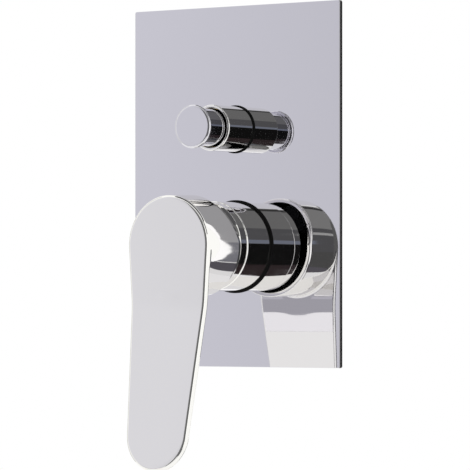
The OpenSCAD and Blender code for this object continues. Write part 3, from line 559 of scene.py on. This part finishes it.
def drill(piece, name, radius, start, end):
    """Cuts a round hole through a piece, from one point to another, in metres."""
    axis = Vector(end) - Vector(start)
    along = axis.to_track_quat("Z", "Y").to_matrix().to_4x4()
    work = bmesh.new()
    bmesh.ops.create_cone(work, cap_ends=True, segments=96, radius1=radius, radius2=radius,
                          depth=axis.length,
                          matrix=Matrix.Translation((Vector(start) + Vector(end)) / 2) @ along)
    mesh = bpy.data.meshes.new(name)
    work.to_mesh(mesh)
    work.free()
    cutter = bpy.data.objects.new(name, mesh)
    bpy.context.scene.collection.objects.link(cutter)
    cut = piece.modifiers.new(name, "BOOLEAN")
    cut.operation, cut.solver, cut.object = "DIFFERENCE", "EXACT", cutter
    bpy.context.view_layer.update()
    result = bpy.data.meshes.new_from_object(piece.evaluated_get(bpy.context.evaluated_depsgraph_get()))
    piece.modifiers.clear()
    old, piece.data = piece.data, result
    bpy.data.meshes.remove(old)
    bpy.data.objects.remove(cutter)
    # The cut leaves slivers under a micron wide, which are dissolved.
    work = bmesh.new()
    work.from_mesh(result)
    bmesh.ops.dissolve_degenerate(work, edges=work.edges, dist=MICRON)
    work.to_mesh(result)
    work.free()
    result.name = piece.name
    result.set_sharp_from_angle(angle=CREASE)


plate_width = (plate_high[0] - plate_low[0]) / MM
plate_height = (plate_high[2] - plate_low[2]) / MM
plate_depth = (plate_high[1] - plate_low[1]) / MM
corner_r, bevel, rear_bevel = 1.0, 0.18, 0.2
# A row this far beside each bevel keeps the flats' shading flat.
beside = 0.05
rear_row = rear_bevel + beside
plate_rows = []
# Each row is (inset from the outline, depth behind the front, spread). A spread of 0 draws the row
# together in the plate's middle, which closes the front and the back.
for inset, depth, spread in [(0, 0, 0), (bevel + beside, 0, 1), (bevel, 0, 1),
                             (bevel * 0.3, bevel * 0.3, 1), (0, bevel, 1), (0, bevel + beside, 1),
                             (0, plate_depth - rear_row, 1), (0, plate_depth - rear_bevel, 1),
                             (rear_bevel, plate_depth, 1), (rear_row, plate_depth, 1),
                             (0, plate_depth, 0)]:
    loop = spread * rectangle_loop(plate_width - 2 * inset, plate_height - 2 * inset, corner_r - inset)
    plate_rows.append(np.stack([loop[:, 0] * MM, np.full(len(loop), front + depth * MM),
                                loop[:, 1] * MM], axis=-1))
plate = object_from_grid("mirror_plate", np.stack(plate_rows, axis=1))
neck_hole_r, bonnet_hole_r, punch_reach = 20.3, 9.8, 0.01
for name, z, r in [("neck_hole", lever_z, neck_hole_r), ("bonnet_hole", knob_z, bonnet_hole_r)]:
    drill(plate, name, r * MM, (0, front - punch_reach, z), (0, front + punch_reach, z))
dress(plate, plate_steel, "mixer", ["cover_plate"])
plate.data.materials.append(sheared_edge)
# Faces that look sideways, with less than 0.3 of their normal along Y, are sheared ones.
normals = np.zeros(len(plate.data.polygons) * 3, np.float32)
plate.data.polygons.foreach_get("normal", normals)
sheared = np.abs(normals.reshape(-1, 3)[:, 1]) < 0.3
plate.data.polygons.foreach_set("material_index", sheared.astype(np.int32))

# Rubber rings at the sleeves' feet
# Black moulded nitrile rings seal each sleeve to the plate. A thin line of each shows at the
# sleeve's foot, and again in the polished plate.
def turned(name, profile, axis_z, segments=160):
    """A profile of (radius, distance out from the plate), in mm, turned about an axis along Y at x = 0:
    the point at turn t is (r cos t, front - out, axis_z + r sin t)."""
    t = np.linspace(0, 2 * np.pi, segments, endpoint=False)[:, None]
    r, out = profile[:, 0] * MM, profile[:, 1] * MM
    points = np.broadcast_arrays(r * np.cos(t), front - out, axis_z + r * np.sin(t))
    return object_from_grid(name, np.stack(points, axis=-1))


def foot_ring(outer, bore, thick):
    """Section of a ring: flat back and front, with an outer edge that is a half circle."""
    half = thick / 2
    t = np.radians(np.linspace(-90, 90, 13))
    edge = np.stack([outer - half + half * np.cos(t), half + half * np.sin(t)], axis=-1)
    return np.vstack([[(bore, 0)], edge, [(bore, thick)], [(bore, 0)]])


main_ring_t, knob_ring_t = 0.7, 0.6
dress(turned("main_foot_ring", foot_ring(outer=23.2, bore=20.1, thick=main_ring_t), lever_z), black_rubber,
      "mixer", ["sleeve_ring"])
dress(turned("knob_foot_ring", foot_ring(outer=12.0, bore=9.6, thick=knob_ring_t), knob_z), black_rubber,
      "mixer", ["knob_ring"])

# Main sleeve and dome
# A drawn brass tube, chromed, that pushes over the body's neck as far as the rubber ring. Its
# front end takes a thin dome, which hides the cartridge and leaves a round hole for the stem.

# A profile has a point this far beside each arc, in mm, which keeps the shading of the flats flat.
GUARD = 0.03


def rounded(corners, steps=7):
    """A profile through corners (radius, out, rounding), in mm. A rounding r replaces its corner by an
    arc that touches both sides: its centre is r / sin(half the corner's angle) away on the bisector."""
    corners = np.array(corners, float)
    places, result = corners[:, :2], []
    for i, (here, r) in enumerate(zip(places, corners[:, 2])):
        before = places[i - 1] if i else None
        behind = places[i + 1] if i + 1 < len(places) else None
        if before is None or behind is None or r <= 0:
            result.append(here)
            continue
        a = (before - here) / np.linalg.norm(before - here)
        b = (behind - here) / np.linalg.norm(behind - here)
        half = np.arccos(np.clip(a @ b, -1, 1)) / 2
        reach = r / np.tan(half)
        centre = here + (a + b) / np.linalg.norm(a + b) * r / np.sin(half)
        first, last = here + a * reach - centre, here + b * reach - centre
        result.append(centre + first + a * GUARD)
        sweep = np.pi - 2 * half
        for t in np.linspace(0, 1, steps):
            radial = (first * np.sin((1 - t) * sweep) + last * np.sin(t * sweep)) / np.sin(sweep)
            result.append(centre + radial)
        result.append(centre + last + b * GUARD)
    return np.array(result)


# Bright chrome on brass and zinc, polished before plating: a clean mirror with faint slow ripples.
bright_chrome = polished_metal("electroplated_bright_chrome", "#FBFAF6", roughness=0.03, ripple_mm=30)
sleeve_r, sleeve_bore, sleeve_end = 22.2, 20.2, 20.3
sleeve_profile = rounded([(sleeve_bore, main_ring_t, 0), (sleeve_r, main_ring_t, 0.15),
                          (sleeve_r, sleeve_end, 0.6), (sleeve_bore, sleeve_end, 0.1),
                          (sleeve_bore, main_ring_t, 0)])
dress(turned("chrome_sleeve", sleeve_profile, lever_z), bright_chrome, "mixer", ["main_sleeve"])

# The dome is a ball's cap, centred on the pivot about which the lever tilts. A skirt below it fits
# into the sleeve.
pivot, ball_r, dome_wall = 13.0, 25.117, 1.6
dome_r, dome_bore, mouth_r = 21.9, 20.3, 14.5
skirt_r, skirt_bore, skirt_foot, skirt_top = 20.1, 18.5, 17.3, 21.9


def ball_arc(radius, start, end, steps=40):
    """Points of a circle about the pivot, from one radius to another: out = pivot + sqrt(R^2 - r^2)."""
    r = np.linspace(start, end, steps)
    return np.stack([r, pivot + np.sqrt(radius ** 2 - r ** 2)], axis=-1)


dome_outer = ball_arc(ball_r, dome_r, 15.47)
dome_inner = ball_arc(ball_r - dome_wall, mouth_r, dome_bore)
dome_profile = np.vstack([
    rounded([(skirt_bore, skirt_foot, 0), (skirt_r, skirt_foot, 0.1), (skirt_r, sleeve_end, 0.1),
             (dome_r, sleeve_end, 0.25), (dome_r, 22.0, 0)]),
    [(dome_r, 25.25)], dome_outer, [(15.2, 32.95), (14.8, 32.9), (mouth_r, 32.6)], dome_inner,
    [(dome_bore, skirt_top), (skirt_bore, skirt_top), (skirt_bore, skirt_foot)]])
dress(turned("chrome_dome", dome_profile, lever_z), bright_chrome, "mixer", ["dome_cap"])

# Lever
# One zinc die casting, polished and chromed: a round hub, flat in front and hollow behind, whose
# face runs on into a long blade. The blade bends outwards below the hub and ends in a round tip.

# In mm: the radii of the flat face's two circles and the distance between them, the edge's rounding,
# the blade's thickness, how far the face stands out, and where and by how much the blade bends.
head_r, tip_r, reach = 22.7, 16.75, 92.1
edge_r, blade_t, blade_out = 1.75, 2.8, 56.3
edge_turn = np.radians(84)
edge_side, edge_depth = edge_r * np.sin(edge_turn), edge_r * (1 - np.cos(edge_turn))
bend_from, bend_to, kick = 25.0, 33.0, np.radians(8.4)
slope = np.arcsin((head_r - tip_r) / reach)
# How far the rear rim stands from the plate, and the slanted cut that starts 1 mm above the axis. Then
# the hub's swell behind the face, the run over which it dies away, and the cone it ends on.
rim_level, rim_cut, cut_from, cut_softness = 29.5, np.radians(20), 1, 0.3
swell, swell_run, cone = 0.36, 6.0, 0.0095


def face_loop(head=200, side=90, tip=80):
    """The flat face's outline and its outward normals: a head circle and a tip circle, joined by the
    straight lines that touch both, which lean by asin((head_r - tip_r) / reach). Starts on the right
    and goes anticlockwise."""
    t1 = np.linspace(-slope, np.pi + slope, head)
    t2 = np.linspace(np.pi + slope, 2 * np.pi - slope, tip)
    normal1 = np.stack([np.cos(t1), np.sin(t1)], axis=-1)
    normal2 = np.stack([np.cos(t2), np.sin(t2)], axis=-1)
    arc1, arc2 = head_r * normal1, np.array([0, -reach]) + tip_r * normal2
    run = np.linspace(0, 1, side + 2)[1:-1, None]
    left, right = arc1[-1] + (arc2[0] - arc1[-1]) * run, arc2[-1] + (arc1[0] - arc2[-1]) * run
    loop = np.vstack([arc1, left, arc2, right])
    normals = np.vstack([normal1, np.repeat(normal1[-1:], side, 0),
                         normal2, np.repeat(normal2[-1:], side, 0)])
    return loop, normals


def hub_swell(w):
    """How far the hub's wall stands out beyond the flat face at a depth w behind it, in mm. It starts
    where the edge's rounding ends: a quick flare that dies away like exp(-w/6), on a slight cone."""
    past = w - edge_depth
    return edge_side + swell * (1 - np.exp(-past / swell_run)) + cone * past


def rim_out(y):
    """Distance of the hub's rear rim from the plate, at a height y above the axis: level below, and
    cut back by a plane of 20 degrees above. The start is soft: half of y + sqrt(y^2 + softness)."""
    above = y - cut_from
    return rim_level + np.tan(rim_cut) * 0.5 * (above + np.sqrt(above ** 2 + cut_softness))


def bend(x, y, w):
    """Lays flat lever coordinates on the bent lever. Along the blade the direction turns by kick
    between bend_from and bend_to, evenly, as on an arc, and w goes straight back from the face."""
    q = -y
    rate = kick / (bend_to - bend_from)
    part = np.clip(q, bend_from, bend_to) - bend_from
    angle = rate * part
    down = np.minimum(q, bend_from) + np.sin(angle) / rate + np.maximum(q - bend_to, 0) * np.cos(kick)
    out = blade_out + (1 - np.cos(angle)) / rate + np.maximum(q - bend_to, 0) * np.sin(kick)
    return x, -down - w * np.sin(angle), out - w * np.cos(angle)


loop, normals = face_loop()
columns = []


def column(x, y, w):
    """Adds one line of the grid: lever coordinates in mm become places in metres."""
    x, y, out = bend(x, y, w * np.ones(len(loop)))
    columns.append(np.stack([x * MM, front - out * MM, lever_z + y * MM], axis=-1))


# The flat face, from its middle outwards, in lines that lie a little closer together near its edge.
for t in np.linspace(0, 1, 56) ** 0.9:
    column(loop[:, 0] * t, loop[:, 1] * t, 0.0)
# The rounded edge round it.
for turn in np.linspace(0, edge_turn, 11)[1:]:
    out = loop + normals * edge_r * np.sin(turn)
    column(out[:, 0], out[:, 1], edge_r * (1 - np.cos(turn)))

# The side wall, in two lines, and the blade's rear edge. The shelf is what the blade's back has
# beyond the hub. It shrinks to nothing where the blade runs into the hub, and the two rear
# roundings with it.
back = loop + normals * hub_swell(blade_t)
hub_back = head_r + hub_swell(blade_t)
shelf = np.maximum(np.linalg.norm(back, axis=1) - hub_back, 0)
rear_edge_r, fillet_r = 0.8, 1.2
back_edge = np.minimum(rear_edge_r, 0.4 * shelf)
fillet = np.minimum(fillet_r, 0.9 * (shelf - back_edge))
for w in (1.8, 2.0):
    out = loop + normals * hub_swell(w)
    column(out[:, 0], out[:, 1], w)
back_in = back - normals * back_edge[:, None]
for turn in np.radians(np.linspace(0, 90, 6)):
    out = back_in + normals * (back_edge * np.cos(turn))[:, None]
    column(out[:, 0], out[:, 1], blade_t - back_edge + back_edge * np.sin(turn))
# The blade's back, along rays from the hub's axis, and the fillet that turns up into the hub's wall.
polar = np.arctan2(back_in[:, 1], back_in[:, 0])
wall_r = head_r + hub_swell(blade_t + fillet)
ray = np.stack([np.cos(polar), np.sin(polar)], axis=-1)
start = np.linalg.norm(back_in, axis=1)
for t in np.linspace(0, 1, 26)[1:]:
    out = ray * (start + (wall_r + fillet - start) * t)[:, None]
    column(out[:, 0], out[:, 1], blade_t)
for turn in np.radians(np.linspace(0, 90, 10)[1:]):
    out = ray * (wall_r + fillet * (1 - np.sin(turn)))[:, None]
    column(out[:, 0], out[:, 1], blade_t + fillet * (1 - np.cos(turn)))


def rim_depth(radius):
    """Depth of the rear rim behind the face, at a radius, for every ray."""
    return blade_out - rim_out(radius * np.sin(polar))


# The hub's wall, as far as its rear rim, and the rim's outer rounding.
outer_rim_r, rim_round = 25.0, 0.5
for t in np.linspace(0, 1, 18)[1:]:
    w = blade_t + fillet + (rim_depth(outer_rim_r) - rim_round - blade_t - fillet) * t
    out = ray * (head_r + hub_swell(w))[:, None]
    column(out[:, 0], out[:, 1], w)
rim_r = head_r + hub_swell(rim_depth(outer_rim_r) - rim_round)
for turn in np.radians(np.linspace(0, 90, 7)[1:]):
    radius = rim_r - rim_round * (1 - np.cos(turn))
    out = ray * radius[:, None]
    column(out[:, 0], out[:, 1], rim_depth(outer_rim_r) - rim_round + rim_round * np.sin(turn))
# The flat rim and its small inner rounding.
hollow_r, inner_round = 22.9, 0.25
for radius, rise in [(24.3, 0), (23.1, 0), (22.95, 0.06), (hollow_r, inner_round)]:
    out = ray * radius
    column(out[:, 0], out[:, 1], rim_depth(radius) - rise)
# The hollow's wall narrows by its draft down to a rounded foot, and its floor closes it.
draft, wall_foot, web_t = 0.6, 4.6, 4.0
for t in np.linspace(0, 1, 8)[1:]:
    w = rim_depth(hollow_r) - inner_round + (wall_foot - rim_depth(hollow_r) + inner_round) * t
    out = ray * (hollow_r - draft * t)
    column(out[:, 0], out[:, 1], w)
for radius, w in [(22.1, web_t + 0.1), (21.7, web_t), (12.0, web_t), (0.0, web_t)]:
    out = ray * radius
    column(out[:, 0], out[:, 1], w)
lever = object_from_grid("lever_casting", np.stack(columns, axis=1))
# A hole for the hexagon key goes in from below, through the hub's wall to the grub screw.
key_r, key_y = 2.8, front - 44.0 * MM
drill(lever, "key_hole", key_r * MM, (0, key_y, lever_z - 18 * MM), (0, key_y, lever_z - 32 * MM))
dress(lever, bright_chrome, "lever", ["lever_handle"])

# The hub's inside and the square socket for the stem are as cast, with only a thin dull deposit of
# plating. Their near-black colour is painted shade, for the little light that gets in.
zinc_painted_shade = mottled("as_cast_zinc_painted_shade", ("#26272A", "#1B1C1E"), patch_mm=6, roughness=(0.4, 0.6),
                     grain_mm=0.8, grain_height=0.06, metallic=0.8)
lever.data.materials.append(zinc_painted_shade)
# The hollow's faces, which take the painted shade, are those within the rim's inner corner that lie
# behind the hub's front wall.
inside_r, inside_out = 23.15, 52.9
centres = np.zeros(len(lever.data.polygons) * 3, np.float32)
lever.data.polygons.foreach_get("center", centres)
x, y, z = centres.reshape(-1, 3).T
inside = (np.hypot(x, z - lever_z) < inside_r * MM) & (front - y < inside_out * MM)
lever.data.polygons.foreach_set("material_index", inside.astype(np.int32))
# The socket is a round boss with a square hole. At a turn t round the axis, a square's edge is
# half its side / max(|cos t|, |sin t|) away.
boss_r, boss_root, boss_end = 9.0, 52.6, 40.5
square_half, square_end = 4.1, 49.1
around = np.linspace(0, 2 * np.pi, 96, endpoint=False)[:, None]
square = square_half / np.maximum(np.abs(np.cos(around)), np.abs(np.sin(around)))
socket_rows = []
for radius, out in [(0.0, boss_root), (boss_r, boss_root), (boss_r, boss_end + 0.5),
                    (boss_r - 0.3, boss_end), (square + 0.2, boss_end), (square, boss_end + 0.3),
                    (square, square_end), (0.0, square_end)]:
    r = radius * np.ones_like(around)
    socket_rows.append(np.concatenate([r * np.cos(around) * MM, np.full_like(around, front - out * MM),
                                       lever_z + r * np.sin(around) * MM], axis=1))
socket = object_from_grid("stem_socket", np.stack(socket_rows, axis=1))
# The socket takes the same painted shade.
dress(socket, zinc_painted_shade, "lever", ["lever_handle"])
# A cup-point grub screw of blackened steel goes in from below. Oil leaves it dark, with a dull sheen.
blackened_steel = mottled("blackened_screw_steel", ("#2A2A2C", "#1F1F22"), patch_mm=2.5,
                          roughness=(0.3, 0.45), grain_mm=0.3, grain_height=0.003, metallic=0.9)
repaint(blackened_steel, "lever_grub_screw", "knob_grub_screw")

# Knob's sleeve and knob
# The small sleeve is turned brass, chromed like the large one. The knob is a thin disc on a
# narrower neck that slides inside the sleeve; a grub screw from below holds it on the spindle.
small_r, small_end, foot_bore, mouth_bore, bore_step = 11.4, 20.9, 9.6, 10.05, 7.0
small_profile = rounded([(foot_bore, knob_ring_t, 0), (small_r, knob_ring_t, 0.15),
                         (small_r, small_end, 0.5), (mouth_bore, small_end, 0.3),
                         (mouth_bore, bore_step, 0), (foot_bore, bore_step, 0),
                         (foot_bore, knob_ring_t, 0)])
dress(turned("chrome_knob_sleeve", small_profile, knob_z),
      bright_chrome, "mixer", ["knob_sleeve"])
# The knob's chrome is a mirror like the lever's, a shade greyer, in the plate's colour.
knob_chrome = polished_metal("greyer_knob_chrome", "#E7E6EA", roughness=0.03, ripple_mm=20)
knob_r, knob_face, disc_rear = 10.8, 36.3, 34.2
neck_r, neck_bore, neck_foot = 9.3, 7.9, 7.3
core_r, core_foot, core_bore, bore_end = 6.0, 14.9, 3.0, 32.2


def two_arcs(wide=1.75, tight=0.8, meet=np.radians(37)):
    """The knob's front edge. An arc of radius wide leaves the face and turns as far as meet, and one of
    radius tight goes on from there until it runs straight back: the two share a tangent at meet."""
    first, second = np.linspace(0, meet, 10), np.linspace(meet, np.pi / 2, 9)[1:]
    start = knob_r - tight - (wide - tight) * np.sin(meet)
    centre = knob_face - wide * (1 - np.cos(meet)) - tight * np.cos(meet)
    from_face = [start + wide * np.sin(first), knob_face - wide * (1 - np.cos(first))]
    to_side = [knob_r - tight + tight * np.sin(second), centre + tight * np.cos(second)]
    return np.vstack([np.stack(from_face, axis=-1), np.stack(to_side, axis=-1)])


knob_edge = two_arcs()
knob_profile = np.vstack([
    [(0, knob_face), (4.0, knob_face), (knob_edge[0, 0] - GUARD, knob_face)], knob_edge,
    rounded([(knob_r, knob_edge[-1, 1] - GUARD, 0), (knob_r, disc_rear, 0.7), (neck_r, disc_rear, 0.2),
             (neck_r, neck_foot, 0.2), (neck_bore, neck_foot, 0.1), (neck_bore, disc_rear, 0.2),
             (core_r, disc_rear, 0.2), (core_r, core_foot, 0.2), (core_bore, core_foot, 0),
             (core_bore, bore_end, 0), (0.0, bore_end, 0)])])
knob = turned("pull_knob", knob_profile, knob_z)
knob_key_r, knob_key_y = 1.5, front - 27.55 * MM
drill(knob, "knob_key_hole", knob_key_r * MM, (0, knob_key_y, knob_z - 2 * MM),
      (0, knob_key_y, knob_z - 12 * MM))
dress(knob, knob_chrome, "diverter", ["diverter_knob"])
